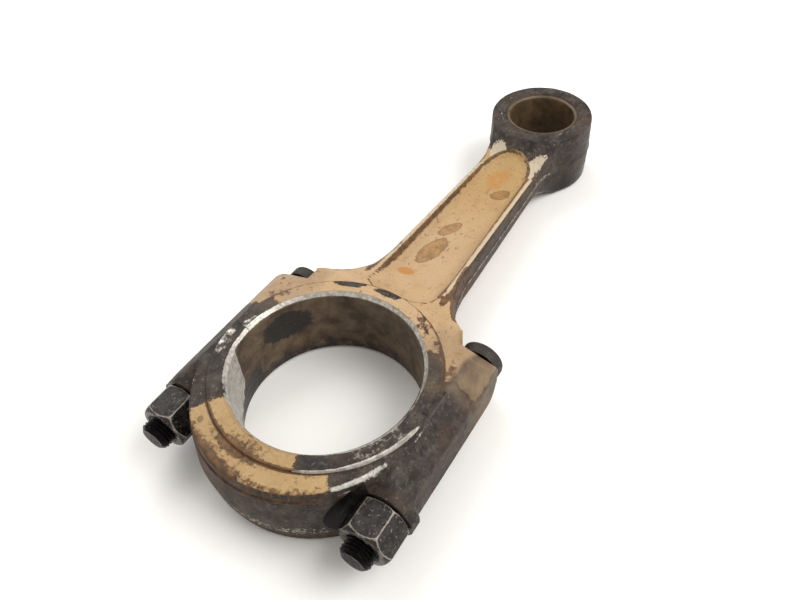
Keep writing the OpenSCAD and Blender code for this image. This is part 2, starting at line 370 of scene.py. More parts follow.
def rod_outline(inset, draft):
    """The outline at every column, moved in by inset, and by draft too where it is as forged.
    Lines and arcs follow one another: lug side, bolt seat, ledge, step, neck, shank side, fillet, eye."""
    stretches = runs(ROD_COLUMNS)
    points = np.zeros((stretches["eye"].stop, 2))
    neck = lay(NECK_END_X, -SHANK_HALF_BIG - NECK_R)
    throat_angle = 110.0
    meet = np.degrees(np.arctan2(EYE_SIDE_Y, EYE_X - EYE_SIDE_X))

    def stretch(name):
        """A stretch's columns, the shares of its length, and its offset without and with the draft."""
        run = stretches[name]
        return run, shares(ROD_COLUMNS[name], name == "eye"), inset[run], inset[run] + draft[run]

    def lug_side(x, off):
        """The lug's side, which rounds in towards the bolt seat."""
        return off - LUG_Y + SHOULDER_ROUND * ramp(x, SHOULDER_X - 14, SHOULDER_X + 2) ** 1.5

    def neck_start(off, far):
        """The angle at which the neck's arc meets the step."""
        return np.degrees(np.arccos((STEP_X - off - NECK_END_X) / (NECK_R + far)))

    def arc(centre, radius, start, end, share):
        """Points the given shares of the way along an arc, from one angle to another."""
        return centre + radius[:, None] * turn(start + (end - start) * share)

    run, share, off, _ = stretch("lug")
    along = (SHOULDER_X - off) * share
    points[run] = lay(along, lug_side(along, off))
    run, share, off, _ = stretch("seat")
    seat_x = SHOULDER_X - off
    points[run] = between(lay(seat_x, lug_side(seat_x, off)), lay(seat_x, off - LEDGE_Y), share)
    run, share, off, _ = stretch("ledge")
    points[run] = between(lay(SHOULDER_X - off, off - LEDGE_Y), lay(STEP_X - off, off - LEDGE_Y), share)
    run, share, off, far = stretch("step")
    corner = neck + (NECK_R + far)[:, None] * turn(neck_start(off, far))
    points[run] = between(lay(STEP_X - off, off - LEDGE_Y), corner, share)
    run, share, off, far = stretch("neck")
    points[run] = arc(neck, NECK_R + far, neck_start(off, far), throat_angle, share)
    run, share, _, far = stretch("throat")
    points[run] = arc(neck, NECK_R + far, throat_angle, 90, share)
    run, share, _, far = stretch("side")
    start, end = lay(NECK_END_X, far - SHANK_HALF_BIG), lay(EYE_SIDE_X, far - SHANK_HALF_SMALL)
    points[run] = between(start, end, share)
    run, share, _, far = stretch("fillet")
    points[run] = arc(lay(EYE_SIDE_X, -EYE_SIDE_Y), EYE_SIDE_R + far, 90, meet, share)
    run, share, _, far = stretch("eye")
    points[run] = arc(lay(EYE_X, 0), EYE_R - far, 180 + meet, 360, share)
    return points


# Where the columns stand round the big bore, and round the eye, in degrees
RING_TURN = columns(joined(ROD_COLUMNS, -90, -54, -44, -42, -36, 0))
EYE_TURN = -180 + 180 * shares(ROD_COLUMNS["eye"], True)


def rod_inner():
    """The line that faces the outline, column by column: round the ring, along the middle, round the eye."""
    middle = joined(("throat", "side", "fillet"), RING_BAND_R, 80, 160, EYE_X - EYE_BAND_R)
    points = np.concatenate([
        RING_BAND_R * turn(RING_TURN[:-1]),
        lay(columns(middle)[:-1], 0.0),
        lay(EYE_X, 0) + EYE_BAND_R * turn(EYE_TURN),
    ])
    points[-1, 1] = 0
    return points


def joint_gap(x):
    """How far a face falls back at the joint, so that the parting line shows."""
    return JOINT_EDGE * np.clip(1 - np.abs(x) / 0.5, 0, 1)


def raised(flat, height):
    """Plan points with their heights."""
    return np.concatenate([flat, height[..., None]], -1)


def upper(flat, height):
    """Plan points on an upper face, whose height is a function of x and y."""
    return raised(flat, height(flat[..., 0], flat[..., 1]) - joint_gap(flat[..., 0]))


def rounded_rows(outline, draft, height, scale, radius):
    """The rows of a face along its outline, where it is rounded over."""
    rows = []
    for distance in EDGE_ROWS:
        flat = outline(distance * scale, draft)
        row = upper(flat, height)
        row[:, 2] -= rounding(distance * scale, radius)
        rows.append(row)
    return np.stack(rows)


def face_rows(inner, edge, height):
    """The rows of a face, from an inner line to its outline."""
    steps = np.linspace(0, 1, MIDDLE_ROWS + 1)[:-1]
    flat = inner + (edge[-1, :, :2] - inner) * steps[:, None, None]
    return np.concatenate([upper(flat, height), edge[::-1]])


def side_wall(edge, outline, lean):
    """The upright wall under a face's outline, set in by lean(z) at a height z above mid-thickness."""
    levels = WALL_ROWS[:, None] * edge[0, :, 2]
    rows = [raised(outline(0 * row, row), level) for row, level in zip(lean(levels), levels)]
    return np.stack([edge[0]] + rows[1:])


def ring_rows(angle, height):
    """The rows of the chamfer and thrust ring, a quarter turn round the big bore."""
    flat = (BORE_R + RING_ROWS)[:, None, None] * turn(angle)
    flat[:, 0, 0] = 0
    flat[:, -1, 1] = 0
    return upper(flat, height)


def bore_wall(rows):
    """The wall of a bore under the innermost of its mouth's rows."""
    return np.stack([raised(rows[0, :, :2], rows[0, :, 2] * level) for level in WALL_ROWS[::-1]])


def joint_face(ring, face):
    """The flat face at the joint, under the ends of the ring's and the face's rows."""
    rim = np.concatenate([ring[:, 0], face[1:, 0]])
    return np.stack([raised(rim[:, :2], rim[:, 2] * level) for level in WALL_ROWS[::-1]])


def rod_skin():
    """A quarter of the forging's skin: ring, face, outer wall, bore walls, eye ring and joint face."""
    forged = columns(joined(ROD_COLUMNS, 0, 0, 0, 0, 0, 1, 1, 1, 1, 1))
    radius = columns(joined(ROD_COLUMNS, 1.3, 2.8, 1.2, 1, 1, 2, 1.6, 1.6, 1.4, 1.4))
    scale = columns(joined(ROD_COLUMNS, 0.76, 0.6, 0.2, 0.1, 0.1, 1, 1, 1, 0.28, 0.28))
    draft = columns(joined(ROD_COLUMNS, 0, 0, 0, 0, 0.05, 0.11, 0.06, 0.05, 0.03, 0.03))
    plain = rod_outline(0 * scale, 0 * scale)
    top_draft = forged * (draft * rod_height(*plain.T) + FLASH)
    edge = rounded_rows(rod_outline, top_draft, rod_height, scale, radius)
    face = face_rows(rod_inner(), edge, rod_height)
    wall = side_wall(edge, rod_outline, lambda z: forged * (draft * z + FLASH * ramp(z, 0.45, 1.1)))
    ring = ring_rows(RING_TURN, rod_height)
    ring[-1] = face[0, :ring.shape[1]]

    from_bore = np.array([0, 0.25, 0.6, 1.2, 2.2, 3.2])
    flat = lay(EYE_X, 0) + (BUSH_R + from_bore)[:, None, None] * turn(EYE_TURN)
    flat[:, [0, -1], 1] = 0
    mouth = 0.6 - np.minimum(from_bore, 0.6)
    eye = raised(flat, rod_height(flat[..., 0], flat[..., 1]) - mouth[:, None])
    eye[-1] = face[0, -eye.shape[1]:]
    return [ring, face, wall, bore_wall(ring), eye, bore_wall(eye), joint_face(ring, face)]


def rod_forging():
    """The forged rod: half a housing, an I-section shank and the small-end eye, with its bolt holes."""
    obj = piece("rod_body", mirrored(mirrored(rod_skin(), 2), 1))
    outward(obj)
    cut(obj, [rod_cutter("drill", -1, SHOULDER_X + 1, BOLT_HOLE_R, side) for side in (-1, 1)])
    return obj


def outward(obj):
    """Turns every face of a closed mesh outwards."""
    work = bmesh.new()
    work.from_mesh(obj.data)
    bmesh.ops.recalc_face_normals(work, faces=work.faces)
    work.to_mesh(obj.data)
    work.free()


# ---- Bearing cap ----

CAP_COLUMNS = {"lug": 50, "seat": 24, "crown": 96}


def cap_height(x, y):
    """Upper face of the cap before its outer edges are rounded."""
    height = BODY_Z + forged_swell(x, y) * ramp(np.hypot(x, y), RING_R, RING_R + 3)
    boss = np.sqrt(np.maximum(BOSS_R ** 2 - (np.abs(y) - BOLT_Y) ** 2, 0)) + (x - SEAT_X) * BOSS_TAPER
    lug = soft_min(soft_min(height, lug_height(y), 0.7), boss, 2.5)
    off_crown = ramp(np.hypot(x - CROWN_CENTRE_X, y), CROWN_R - 2.4, CROWN_R - 0.4)
    height = height + (lug - height) * off_crown
    return ring_and_chamfer(height, np.hypot(x, y))


def cap_outline(inset, draft):
    """The cap's outline at every column, moved in by inset, and its crown by draft too:
    lug side, nut seat, crown arc."""
    lug, seat, crown = runs(CAP_COLUMNS).values()
    points = np.zeros((crown.stop, 2))

    def foot(off, far):
        """How far out the crown's arc meets the nut seat."""
        return np.sqrt((CROWN_R - off - far) ** 2 - (SEAT_X + off - CROWN_CENTRE_X) ** 2)

    off = inset[lug]
    points[lug] = between(lay(0, off - LUG_Y), lay(SEAT_X + off, off - LUG_Y), shares(CAP_COLUMNS["lug"]))
    off, far = inset[seat], draft[seat]
    start, end = lay(SEAT_X + off, off - LUG_Y), lay(SEAT_X + off, -foot(off, far))
    points[seat] = between(start, end, shares(CAP_COLUMNS["seat"]))
    off, far = inset[crown], draft[crown]
    start = np.degrees(np.arctan2(-foot(off, far), SEAT_X + off - CROWN_CENTRE_X))
    angle = start + (-180 - start) * shares(CAP_COLUMNS["crown"], True)
    points[crown] = lay(CROWN_CENTRE_X, 0) + (CROWN_R - off - far)[:, None] * turn(angle)
    points[-1, 1] = 0
    return points


def cap_skin():
    """A quarter of the cap's skin: ring, face, outer wall, bore wall and joint face."""
    radius = columns({"lug": (1.3, 1.3), "seat": (0.6, 0.6), "crown": (1.2, 2.2)}, CAP_COLUMNS)
    scale = columns(joined(CAP_COLUMNS, 0.76, 0.55, 0.45, 0.8), CAP_COLUMNS)
    top_draft = 0 * scale + CROWN_DRAFT * BODY_Z
    edge = rounded_rows(cap_outline, top_draft, cap_height, scale, radius)
    ring = ring_rows(columns(joined(CAP_COLUMNS, -90, -128, -138, -180), CAP_COLUMNS), cap_height)
    face = face_rows(ring[-1, :, :2], edge, cap_height)
    wall = side_wall(edge, cap_outline, lambda z: CROWN_DRAFT * z)
    swell_boss(wall)
    return [ring, face, wall, bore_wall(ring), joint_face(ring, face)]


def swell_boss(wall):
    """Swells the lug's side out to the round boss at the nut seat, and the seat's face with it."""
    x = wall[..., 0]
    lug, seat, _ = runs(CAP_COLUMNS).values()
    top = np.sqrt(BOSS_R ** 2 - (LUG_Y - BOLT_Y) ** 2)
    boss_y = -(BOLT_Y + np.sqrt(BOSS_R ** 2 - (top * WALL_ROWS[:, None]) ** 2)) * np.ones_like(x)
    swell = np.minimum(boss_y + LUG_Y, 0)
    near = ramp(-x, -SEAT_X - BOSS_LENGTH - 3, -SEAT_X - BOSS_LENGTH)
    fade = np.zeros_like(x)
    fade[:, seat] = 1 - shares(CAP_COLUMNS["seat"])
    fade[:, :lug.stop + 1] = near[:, :lug.stop + 1]
    wall[..., 1] += swell * fade


def bearing_cap():
    """The bearing cap: half a housing with its crown, nut seats and bolt holes."""
    obj = piece("cap_body", mirrored(mirrored(cap_skin(), 2), 1))
    outward(obj)
    seats = [rod_cutter("spot_face", SEAT_X + 0.02, CROWN_X - 5, SPOT_FACE_R, side) for side in (-1, 1)]
    drills = [rod_cutter("drill", SEAT_X - 1, 1, BOLT_HOLE_R, side) for side in (-1, 1)]
    for cutter in seats:
        outward(cutter)
    cut(obj, seats + drills)
    return obj


# ---- Bolts, nuts and bush ----

BOLT_R = 7.0
THREAD_GAP = 0.08
PITCH = 1.5
THREAD_DEPTH = 0.8
THREAD_LENGTH = 30.0
HEAD_R = 10.0
HEAD_SHIFT = HEAD_R - 7.3
HEAD_FLAT = 11.2 - HEAD_SHIFT
DOME_HEIGHT = 2.5
TIP_X = BOLT_LOW[0]
HEAD_TOP_X = BOLT_HIGH[0]


def bolt(name, side):
    """A bolt: chamfered tip, helical thread, plain shank and a domed head with one flat."""
    thread_end = TIP_X + THREAD_LENGTH
    rows = [(TIP_X, 0), (TIP_X, 1.2), (TIP_X, 2.6), (TIP_X, 5.2)]
    rows += [(x, BOLT_R) for x in np.arange(TIP_X + 0.4, thread_end, PITCH / 7)]
    rows += [(thread_end + 1, BOLT_R), (SHOULDER_X - 1, BOLT_R), (SHOULDER_X, BOLT_R)]
    shank_rows = len(rows)
    dome_r = (HEAD_R ** 2 + DOME_HEIGHT ** 2) / (2 * DOME_HEIGHT)
    rim_x = HEAD_TOP_X - DOME_HEIGHT
    rows += [(SHOULDER_X, HEAD_R - 0.15), (SHOULDER_X + 0.3, HEAD_R), (rim_x - 0.7, HEAD_R)]
    for radius in (HEAD_R - 0.25, HEAD_R - 0.9, 8.2, 7, 5.5, 4, 2, 0):
        rows += [(HEAD_TOP_X - dome_r + np.sqrt(dome_r ** 2 - radius ** 2), radius)]
    flat_angle = 180 if side > 0 else 0

    def reach(angle, x, radius):
        """The thread's groove, which fades out at both ends, and the head's flat."""
        phase = (x / PITCH - side * angle / 360) % 1
        groove = THREAD_DEPTH * (1 - np.abs(2 * phase - 1)) ** 0.85
        runout = ramp(x, thread_end - 1, thread_end)
        taper = np.clip(TIP_X + 1.8 - x, 0, 1.8)
        threaded = (x > TIP_X + 0.3) & (x < thread_end + 0.5)
        radius = np.where(threaded, np.minimum(radius - groove * (1 - runout), radius - taper), radius)
        flat = HEAD_FLAT / np.maximum(np.cos(np.radians(angle - flat_angle)), 0.05)
        return np.where(x >= SHOULDER_X, np.minimum(radius, flat), radius)

    grid = turned(rows, side * BOLT_Y, reach, 72)
    grid[shank_rows:, :, 1] -= side * HEAD_SHIFT
    return piece(name, [grid], 40)


def nut(name, side):
    """A hexagon nut, corners up to a rounded width, both ends chamfered, with a bore."""
    flats = (NUT_HIGH[2] - NUT_LOW[2]) / 2
    low, high = NUT_LOW[0], NUT_HIGH[0]
    corner = NUT_HIGH[1] - BOLT_Y
    bore = BOLT_R + THREAD_GAP
    rise = corner - flats
    rows = [(low + 0.9, bore), (low, bore + 0.9), (low, flats - 0.9), (low + 0.15, flats - 0.45)]
    rows += [(low + 0.3 + 2.0 * t, flats - 0.3 + (rise + 0.5) * t) for t in np.linspace(0, 1, 7)]
    rows += [(x, corner + 1) for x in np.linspace(low + 2.6, high - 1.6, 9)]
    rows += [(high - 1.3 + 1.15 * t, corner + 0.1 - (rise + 0.2) * t) for t in np.linspace(0, 1, 5)]
    rows += [(high, flats - 0.6), (high, bore + 0.5), (high - 0.5, bore), (low + 0.9, bore)]

    def reach(angle, x, radius):
        """A hexagon with slightly rounded corners: a high power mean of its six sides."""
        sides = np.arange(6) * 60 + 90
        facing = np.maximum(np.cos(np.radians(angle[..., None] - sides)), 0)
        hexagon = flats / ((facing ** 44).sum(-1)) ** (1 / 44)
        return np.minimum(radius, hexagon * np.ones_like(x))

    return piece(name, [turned(rows, side * BOLT_Y, reach, 144)], 40)


def bush():
    """The small-end bush: a plain sleeve with chamfered mouths."""
    half = BUSH_HIGH[2]
    rows = [(BUSH_R, 0), (BUSH_R, half - 0.3), (BUSH_R - 0.3, half), (PIN_R + 0.9, half),
            (PIN_R + 0.75, half - 0.06), (PIN_R + 0.06, half - 0.75), (PIN_R, half - 0.9), (PIN_R, half - 6),
            (PIN_R, 0)]
    rows += [(radius, -z) for radius, z in rows[-2::-1]]
    way = turn(np.linspace(0, 360, 145))
    way[-1] = way[0]
    profile = np.array(rows)
    flat = lay(EYE_X, 0) + profile[:, :1, None] * way
    return piece("bush_sleeve", [raised(flat, np.repeat(profile[:, 1:], len(way), 1))], 40)


# ---- Wear maps: one value per vertex for each kind of wear, and for painted shade and highlights, worked out from its place on the part ----


def zone(x, y, at, size, lean=0.0, soft=0.35):
    """1 inside an oval at a place, 0 outside it; size is its two half widths, lean its turn in degrees."""
    c, s = np.cos(np.radians(lean)), np.sin(np.radians(lean))
    u, v = x - at[0], y - at[1]
    reach = np.hypot((u * c + v * s) / size[0], (v * c - u * s) / size[1])
    return 1 - ramp(reach, 1 - soft, 1 + soft)


def span(value, start, end, soft):
    """1 between start and end, 0 outside, blended over soft at both."""
    return ramp(value, start - soft, start + soft) * (1 - ramp(value, end - soft, end + soft))


def places(obj):
    """Vertex positions in millimetres, and normals."""
    mesh = obj.data
    points = np.zeros(len(mesh.vertices) * 3)
    mesh.vertices.foreach_get("co", points)
    normals = np.zeros(len(mesh.vertices) * 3)
    mesh.vertex_normals.foreach_get("vector", normals)
    return points.reshape(-1, 3) / MM, normals.reshape(-1, 3)


def write(obj, **maps):
    """Keeps the wear maps on the mesh, one attribute each."""
    for name, values in maps.items():
        layer = obj.data.attributes.new(name, "FLOAT", "POINT")
        layer.data.foreach_set("value", np.clip(values, 0, 1).astype(np.float32))


def edge_map(obj, sharpest=0.2):
    """How convex each vertex is: the mean drop of its neighbours below its own plane, for each
    millimetre of distance, spread to the neighbours twice."""
    points, normals = places(obj)
    ends = np.zeros(len(obj.data.edges) * 2, int)
    obj.data.edges.foreach_get("vertices", ends)
    a, b = ends.reshape(-1, 2).T
    way = points[b] - points[a]
    length = np.linalg.norm(way, axis=1) + 1e-6
    drop_a = -(normals[a] * way).sum(1) / length
    drop_b = (normals[b] * way).sum(1) / length
    near = np.minimum(length, 2.0) / length
    count = np.bincount(a, minlength=len(points)) + np.bincount(b, minlength=len(points)) + 1e-6
    value = (np.bincount(a, drop_a * near, len(points)) + np.bincount(b, drop_b * near, len(points))) / count
    for _ in range(2):
        around = np.bincount(a, value[b], len(points)) + np.bincount(b, value[a], len(points))
        value = 0.4 * value + 0.6 * around / count
    return ramp(value, 0.2 * sharpest, sharpest)


def layout(obj):
    """A forging's vertices: x, y, z, distance and angle round the big bore, how level the skin is
    there, and whether it is the bore's wall or the thrust ring."""
    points, normals = places(obj)
    x, y, z = points.T
    r, level = np.hypot(x, y), np.abs(normals[:, 2])
    bore = (r < BORE_R + 0.3) & (level < 0.5)
    return x, y, z, r, np.degrees(np.arctan2(y, x)), level, bore, (r < RING_R + 0.4) & ~bore


def rod_wear(obj):
    """Wear maps of the rod: where its lacquer is left, cream or brown, and where it is stained or bare, with
    the chamfer's far side painted brighter as a highlight.
    """
    x, y, z, r, theta, up, bore, ring = layout(obj)
    eye_r = np.hypot(x - EYE_X, y)
    top = up > 0.3
    inside = recess_depth_edge(x, y)
    rim_in = -inside
    in_recess = ramp(inside, -0.5, 1.2) * (np.abs(z) < BODY_Z - 0.1) * (r > RING_R)
    flank = (1 - ramp(up, 0.35, 0.7)) * (1 - in_recess)
    right_lug = span(y, -80, -48.5, 1.5)
    right_neck = span(y, -50, -30, 3)

    lacquer = 0.95 - 0.8 * ramp(eye_r, 44, 34)
    lacquer -= flank * (0.95 * ramp(x, 48, 56) + 0.5 * ramp(-x, -46, -38) + 0.5 * ramp(x, 48, 52))
    lacquer -= right_lug * (0.95 * (1 - span(x, 20, 60, 4)) + 0.12 * span(x, 20, 38, 4))
    lacquer -= 0.3 * span(y, -80, -52, 3) * ramp(x, 36, 44) + 0.85 * right_neck * (1 - ramp(x, 12, 24))
    lacquer -= 0.9 * span(y, 38, 80, 3) * (1 - ramp(x, 12, 18))
    lacquer -= 0.8 * zone(x, y, (44.6, 18), (1.8, 7), 22) + 0.7 * zone(x, y, (47.5, -1), (1.6, 6), 4)
    worn_ring = 0.2 + 0.2 * ramp(-theta, 5, 30) + 0.3 * ramp(-theta, 45, 62) + 0.6 * ramp(theta, 62, 70)
    lacquer -= ring * worn_ring + 0.35 * span(theta, 52, 60, 3) * (r > RING_R)
    lacquer = np.where(bore, 0.0, lacquer)
    lacquer = lacquer * (1 - in_recess) + 0.97 * in_recess

    rim_top = ramp(up, 0.5, 0.9)
    cream = 0.9 * span(rim_in, 0.9, 2.4, 0.35) * span(x, 66, 172, 8) * rim_top * (y < 0)
    cream += 0.6 * span(rim_in, 0.5, 3.0, 0.5) * span(x, 72, 172, 8) * rim_top * (y > 0)
    cream += 0.8 * zone(x, y, (178, 9), (7, 5), 35) + 0.74 * zone(x, y, (176, -14), (10, 5), -28)
    cream = cream * (up > 0.25) * (1 - in_recess * 0.9)

    brown = 0.85 * in_recess * (1 - ramp(inside, 0.2, 2.4)) * span(x, 66, 180, 5) * np.where(y > 0, 1, 0.62)
    brown += 0.75 * span(rim_in, 2.5, RIM + 2.4, 0.5) * span(x, 60, 176, 6) * top
    brown += 0.7 * span(rim_in, -0.6, 0.7, 0.3) * span(x, 66, 178, 6) * top
    brown += 0.4 * flank * ramp(x, 48, 60) * (eye_r > EYE_R + 3)
    from_neck = np.hypot(x - NECK_END_X, np.abs(y) - SHANK_HALF_BIG - NECK_R) - NECK_R
    brown += 0.85 * span(from_neck, -2, 2.6, 0.8) * span(x, 50, NECK_END_X, 3) * np.where(y < 0, 1, 0.8)
    brown += 0.75 * span(inside, -0.5, 0.5, 0.25) * span(x, 40, 68, 2) * (r > RING_R + 0.5)
    brown += 0.62 * span(r - RING_R, -0.8, 0.6, 0.3) * (up > 0.2) * ramp(x, 5, 15)
    brown += 0.5 * in_recess * (1 - ramp(inside, 0.5, 3)) * ramp(x, 160, 175)
    brown += 0.5 * zone(x, y, (24, 43), (3, 7), 30) + 0.45 * zone(x, y, (20, -48), (7, 3), 15)
    brown += 0.45 * zone(x, y, (184, 2), (4, 12)) * in_recess
    brown += 0.4 * span(y, -47, -42, 3) * span(x, 22, 48, 5)
    brown += 0.5 * zone(x, y, (66, -19), (9, 2.2), 28) * (1 - in_recess)
    blotch = zone(x, y, (95, 4.5), (10.5, 4.6), -12, 0.45) + zone(x, y, (113.4, 4.4), (7, 3), -28, 0.45)
    blotch = 0.86 * blotch + 0.75 * zone(x, y, (151, -6), (5.4, 3.6), -40, 0.5)
    orange = 0.95 * zone(x, y, (75.3, 7.8), (2.9, 4.6), 10, 0.4)
    orange += 0.6 * zone(x, y, (162, 1), (10, 6.5), -10, 0.7) + 0.3 * zone(x, y, (134, 4), (14, 3), -8, 0.6)

    # The chamfer is bare steel; from theta -12 round the far side it is painted brighter still as a
    # highlight.
    chamfer = span(r, BORE_R + 0.15, BORE_R + 1.9, 0.25) * ~bore
    bare = chamfer * (0.55 + 0.45 * span(theta, -12, 100, 8))
    bare += 0.5 * zone(x, y, (2, 43.5), (8, 2.6), -12) * ~bore
    bare += ring * (0.45 * zone(x, y, (47.2, -3), (1.8, 6), 4) + 0.3 * span(theta, -70, -20, 10))
    grease = 0.8 * zone(x, y, (44.9, 16.5), (1.4, 4.4), 22) * ring
    grease += bore * (0.15 + 0.8 * zone(x, z, (17, 6), (11, 8), 0, 0.5) * (y > 0))
    # The flanks are made darker towards the bottom.
    grease += flank * (0.42 * (x > 55) + 0.4 * ramp(-z, 4, 16)) + 0.55 * zone(x, y, (4, -50), (13, 5))
    varnish = np.where(bore | ((eye_r < BUSH_R + 1) & (up < 0.5)), 1.0, 0.0)
    varnish += 0.8 * right_lug * span(x, 16, 50, 4) + 0.34 * right_neck * span(x, 8, 44, 6)
    varnish += 0.3 * span(y, 30, 80, 4) * span(x, 8, 48, 6) * top
    flash = span(np.abs(z), -1, 0.7, 0.4) * flank * ramp(x, 50, 62) * (eye_r > EYE_R + 4)
    edge = np.maximum(edge_map(obj), 0.8 * flash) * ramp(x, 0.6, 2)
    write(obj, lacquer=lacquer, cream=cream, brown=brown, blotch=blotch, orange=orange, bare=bare,
          grease=grease, varnish=varnish, yellow=ramp(x, 95, 165), edge=edge)


def cap_wear(obj):
    """Wear maps of the cap: tan round the crown's far side, dark lugs, a polished patch in its bore painted
    near-white as a reflection, and painted shadow in the nut pockets.
    """
    x, y, z, r, theta, up, bore, ring = layout(obj)
    theta %= 360
    crown_r = np.hypot(x - CROWN_CENTRE_X, y)
    flank = 1 - ramp(up, 0.3, 0.75)
    lug = ramp(crown_r, CROWN_R - 1, CROWN_R + 1) * (x > -45)
    outer = ramp(theta, 136, 146) * (1 - ramp(theta, 212, 224))
    inner = ramp(theta, 136, 146) * (1 - ramp(theta, 196, 208))

    lacquer = np.where(ring, inner, outer)
    lacquer -= 0.34 * ramp(crown_r, CROWN_R - 6.5, CROWN_R - 1) * outer
    lacquer -= 0.62 * flank - 0.2 * flank * span(z, -3, 5, 3) * outer
    lacquer = np.where(bore, 0.0, lacquer) * (1 - lug)
    cream = 0.42 * flank * outer * span(z, -12, -3, 2.5) * span(theta, 160, 225, 12) * ~bore
    brown = 0.66 * span(np.abs(r - RING_R), -1, 0.7, 0.3) * outer * (up > 0.2) + 0.3 * flank * ~bore
    brown += 0.4 * zone(x, y, (-52, 10), (8, 16), 20, 0.6) + 0.26 * outer * ramp(r, 54, 59) * (1 - flank)
    brown += 0.33 * span(r, RING_R - 1, RING_R + 3, 1) * outer + 0.22 * inner * ring
    brown += 0.3 * span(crown_r, CROWN_R - 6, CROWN_R + 2, 1.6) * (up > 0.3) * outer
    spots = [(0.62, (-53, 14), (1.5, 1.5), 0), (0.62, (-56, 8), (1.4, 1.8), 0),
             (0.6, (-50, 4), (1.6, 2), 0), (0.55, (-46, 28), (2, 1.4), 40)]
    blotch = sum(depth * zone(x, y, at, size, lean, 0.6) for depth, at, size, lean in spots)
    bare = 0.95 * span(np.abs(r - RING_R + 0.2), -1, 0.35, 0.15) * span(theta, 202, 262, 8) * (up > 0.2)
    bare += 0.66 * span(np.abs(crown_r - CROWN_R + 3), -1, 1.4, 1) * span(theta, 216, 244, 8) * (up > 0.3)
    bare += 0.5 * zone(x, y, (-10, 46), (9, 3.4), 12) * (up > 0.2)
    # The chamfer is bare steel; near the joint on the far side it is painted brighter still as a highlight.
    chamfer = span(r, BORE_R + 0.2, BORE_R + 1.9, 0.25) * ~bore
    bare += chamfer * (0.4 + 0.35 * (1 - ramp(theta, 120, 145)))
    bare += 0.4 * span(theta, 225, 262, 6) * ring
    # The polished patches in the bore, a crescent on the far side and a strip on the near side, are bare
    # steel painted near-white as a reflection of the light, with no varnish over them.
    patch_end = -12.5 - 12 * ramp(-z, 2, 20)
    polish_and_reflection = bore * (y > 0) * (1 - ramp(x, patch_end - 1, patch_end + 1))
    polish_and_reflection += bore * (y < 0) * (1 - ramp(x, -26, -22)) * 0.8
    # Painted shadow: the nut pockets round the spot faces are darkened to near-black as shade, through the
    # same map as the grease.
    pocket_shade = (np.hypot(np.abs(y) - BOLT_Y, z) < SPOT_FACE_R + 0.6) & (x < SEAT_X + 0.3)
    grease = bore * (1 - polish_and_reflection) * 0.35 + 0.55 * lug * zone(x, y, (-6, -50), (20, 6))
    # The flanks are also made darker towards the bottom.
    grease += 1.3 * pocket_shade + 0.4 * flank * ramp(-z, 0, 12)
    edge = edge_map(obj) * ramp(-x, 0.6, 2)
    edge += 0.7 * span(y, -51.2, -50.2, 0.4) * ramp(x, -16, -10) * (up > 0.3)
    write(obj, lacquer=lacquer, cream=cream, brown=brown, blotch=blotch, orange=0 * x,
          bare=bare + 1.2 * polish_and_reflection, grease=grease, varnish=bore * (1 - polish_and_reflection),
          yellow=0.5 * outer, edge=edge)


def hardware_wear(obj):
    """Wear maps of a bolt or nut: its edges, and the grease on what stands out past the nut."""
    x = places(obj)[0][:, 0]
    write(obj, edge=edge_map(obj, 0.12), grease=1 - ramp(x, NUT_LOW[0] - 1, NUT_LOW[0] + 2))


# ---- Materials ----

# Surfaces are made this much darker than they show, because the studio's light is bright
STUDIO = 0.56


def seen(red, green, blue):
    """The colour of a surface that shows as the given 0 to 255 shades under the studio's bright light."""
    shade_of = np.array([red, green, blue]) / 255
    linear = np.where(shade_of > 0.04045, ((shade_of + 0.055) / 1.055) ** 2.4, shade_of / 12.92)
    return (*(linear * STUDIO), 1.0)


class Net:
    """A node tree, with short calls that add nodes to it and join them."""

    def __init__(self, tree):
        self.tree = tree

    def feed(self, node, inputs):
        """Fills a node's inputs, by name or number, each from a socket or with a value."""
        for key, value in inputs.items():
            if isinstance(value, bpy.types.NodeSocket):
                self.tree.links.new(value, node.inputs[key])
            else:
                node.inputs[key].default_value = value
        return node

    def add(self, kind, inputs=(), **settings):
        """A node with its inputs and settings."""
        node = self.tree.nodes.new("ShaderNode" + kind)
        for name, value in settings.items():
            setattr(node, name, value)
        return self.feed(node, dict(inputs))

    def maths(self, operation, a, b=0.0, clamp=False):
        return self.add("Math", {0: a, 1: b}, operation=operation, use_clamp=clamp).outputs[0]

    def times(self, a, b):
        return self.maths("MULTIPLY", a, b)

    def less(self, a, b):
        return self.maths("SUBTRACT", a, b)

    def mix(self, share, a, b):
        """Colour a, changed to b by share."""
        return self.add("Mix", {0: share, 6: a, 7: b}, data_type="RGBA").outputs[2]

    def cover(self, colour, mask, strength, over):
        """A colour, changed to another inside a mask, by the mask's value times a strength."""
        return self.mix(self.times(mask, strength), colour, over)

    def blend(self, share, a, b):
        """Value a, changed to b by share."""
        return self.add("Mix", {0: share, 2: a, 3: b}, data_type="FLOAT").outputs[0]

    def use(self, group, inputs):
        """A shared group with its own inputs."""
        node = self.add("Group")
        node.node_tree = group
        return self.feed(node, inputs).outputs[0]

    def patches(self, scale, low, high, detail):
        """Patches of noise, from 0 to 1."""
        return self.use(MOTTLE, {"Scale": scale, "Low": low, "High": high, "Detail": detail})

    def torn(self, mask, scale, raggedness, sharpness):
        """A mask with a ragged border."""
        inputs = {"Mask": mask, "Scale": scale, "Raggedness": raggedness, "Sharpness": sharpness}
        return self.use(RAGGED, inputs)

    def skin(self, scale, pits, pit_scale):
        """The height of a forged skin."""
        return self.use(FORGED, {"Scale": scale, "Pits": pits, "Pit Scale": pit_scale})

    def bump(self, height, strength, distance):
        """A normal from a height."""
        inputs = {"Strength": strength, "Distance": distance, "Height": height}
        return self.add("Bump", inputs).outputs["Normal"]

    def worn(self, name):
        """A wear map."""
        return self.add("Attribute", attribute_name=name).outputs["Fac"]


